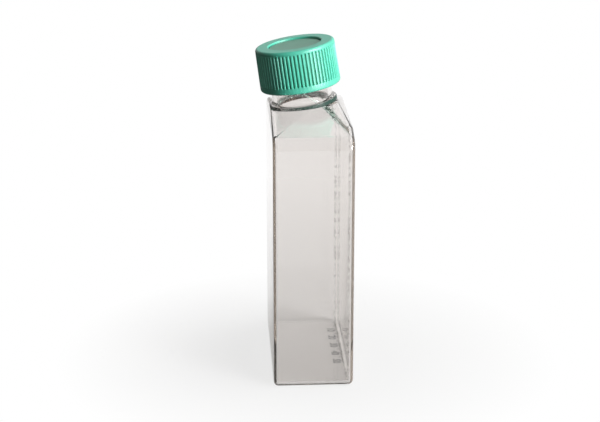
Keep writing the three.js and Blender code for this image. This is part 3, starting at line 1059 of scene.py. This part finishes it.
class FLASK_OT_stage(bpy.types.Operator):
    """Lay the pale floor, hang the lamps and place the camera"""

    bl_idname = "flask.stage"
    bl_label = "Stage"

    def execute(self, context):
        scene = context.scene
        self.lay_floor(scene)
        self.light_world(scene)
        self.hang_sun(scene, "key_lamp", towards=(-0.76, 0.62, -0.24), softness_deg=24, power=5.0)
        self.hang_sun(scene, "top_lamp", towards=(-0.60, 0.10, -0.80), softness_deg=50, power=1.3)
        self.place_camera(scene)
        self.let_light_run(scene)
        scene.view_settings.view_transform = "Standard"
        return {"FINISHED"}

    def lay_floor(self, scene):
        """Pale to the eye, white further out; dark to matt surfaces and in gloss on the left."""
        bm = bmesh.new()
        bmesh.ops.create_grid(bm, x_segments=2, y_segments=2, size=FLOOR_HALF)
        floor = keep("floor", bm)
        floor.location.z = -UNDER_FOOT
        finish = new_finish("pale_floor")
        far = finish.steps(finish.reach(finish.place()), (0.035, 0.58), (0.12, 1.0))
        behind = finish.steps(finish.part("Y"), (0.0, 0.0), (0.3, 1.0))
        left = finish.steps(-1 * finish.part("X"), (0.04, 0.0), (0.16, 1.0))
        screened = left * finish.seen_by_gloss_alone()
        mirrored = behind * (1 - screened)
        seen = finish.light_path("Is Camera Ray").most(mirrored * finish.seen_by_gloss_and_glass())
        tooth = finish.noise(700.0, 3.0, 0.6)
        tone = finish.mix(tooth, scene.flask_colours.floor,
                          shade(scene.flask_colours.floor, 0.985))
        tone = finish.mix(finish.light_path("Is Diffuse Ray").most(screened), tone, DARK_FLOOR)
        matt = finish.plastic(Base_Color=tone, Roughness=0.9, Normal=finish.bump(tooth, 0.0001, 0.2))
        glow = finish.node("ShaderNodeEmission", None, {"Color": (1, 1, 1, 1), "Strength": 1.0})
        floor.data.materials.append(finish.show(finish.either(far * seen, matt, glow)))

    def light_world(self, scene):
        """White ahead, dimmer at the sides and behind; a dark screen takes the gloss off the left."""
        world = bpy.data.worlds.new("studio")
        scene.world = world
        finish = Finish(world)
        way = finish.node("ShaderNodeTexCoord", output="Generated")
        ahead = 0.5 + 0.5 * finish.part("Y", way)
        side = 0.5 + 0.5 * finish.part("X", way)
        across = finish.steps(side, (0.1, 0.0), (0.9, 1.0))
        overhead = finish.steps(finish.part("Z", way), (0.2, 0.0), (0.9, 1.0))
        past_screen = finish.steps(side, (0.16, 0.0), (0.42, 1.0))
        backdrop = finish.steps(ahead, (0.54, 0.0), (0.83, 1.0))
        backdrop = backdrop * (1 - finish.seen_by_gloss_alone() * (1 - past_screen))
        room = finish.mix(overhead, finish.mix(across, *LIT_ROOM), OVERHEAD)
        shown = finish.mix(backdrop, room, WHITE)
        lit = finish.mix(finish.seen_by_gloss_and_glass(), finish.mix(across, *FILL), shown)
        tone = finish.mix(finish.light_path("Is Camera Ray"), lit, WHITE)
        sky = finish.node("ShaderNodeBackground", None, {"Color": tone, "Strength": 1.0})
        finish.node("ShaderNodeOutputWorld", None, {"Surface": sky})

    def hang_sun(self, scene, name, towards, softness_deg, power):
        lamp = bpy.data.lights.new(name, "SUN")
        lamp.angle = math.radians(softness_deg)
        lamp.energy = power
        holder = bpy.data.objects.new(name, lamp)
        holder.rotation_euler = Vector(towards).to_track_quat("-Z", "Y").to_euler()
        scene.collection.objects.link(holder)

    def let_light_run(self, scene):
        """Lets light run along the clear walls, which mirror it inside dozens of times."""
        scene.cycles.max_bounces = 40
        scene.cycles.glossy_bounces = 40
        scene.cycles.transmission_bounces = 24
        scene.cycles.transparent_max_bounces = 24
        scene.cycles.caustics_refractive = False

    def place_camera(self, scene):
        camera = bpy.data.cameras.new("camera")
        camera.lens = CAMERA_LENS
        holder = bpy.data.objects.new("camera", camera)
        holder.location = (CAMERA_DISTANCE * math.sin(CAMERA_AZIMUTH),
                           -CAMERA_DISTANCE * math.cos(CAMERA_AZIMUTH), CAMERA_HEIGHT)
        way = CAMERA_TARGET - holder.location
        holder.rotation_euler = way.to_track_quat("-Z", "Y").to_euler()
        scene.collection.objects.link(holder)
        scene.camera = holder


class FLASK_PT_panel(bpy.types.Panel):
    """Sizes, colours and build steps of the flask"""

    bl_idname = "FLASK_PT_panel"
    bl_label = "Culture flask"
    bl_space_type = "VIEW_3D"
    bl_region_type = "UI"
    bl_category = "Flask"

    def draw(self, context):
        for operator in OPERATORS:
            self.layout.operator(operator.bl_idname)
        for name, group in GROUPS.items():
            box = self.layout.box()
            for key in group.__annotations__:
                box.prop(getattr(context.scene, name), key)


GROUPS = {
    "flask_body": FlaskBodySizes,
    "flask_neck": FlaskNeckSizes,
    "flask_thread": FlaskThreadSizes,
    "flask_cap": FlaskCapSizes,
    "flask_seal": FlaskSealSizes,
    "flask_trim": FlaskTrimSizes,
    "flask_colours": FlaskColours,
}
OPERATORS = (
    FLASK_OT_shell, FLASK_OT_growth_plate, FLASK_OT_weld, FLASK_OT_rule, FLASK_OT_seal,
    FLASK_OT_cap, FLASK_OT_stage,
)
CLASSES = (*GROUPS.values(), *OPERATORS, FLASK_PT_panel)


def register():
    for cls in CLASSES:
        bpy.utils.register_class(cls)
    for name, group in GROUPS.items():
        setattr(bpy.types.Scene, name, PointerProperty(type=group))


def unregister():
    for name in GROUPS:
        delattr(bpy.types.Scene, name)
    for cls in reversed(CLASSES):
        bpy.utils.unregister_class(cls)


def main():
    register()
    bpy.ops.flask.shell()
    bpy.ops.flask.growth_plate()
    bpy.ops.flask.weld()
    bpy.ops.flask.rule()
    bpy.ops.flask.seal()
    bpy.ops.flask.cap()
    bpy.ops.flask.stage()


if __name__ == "__main__":
    main()
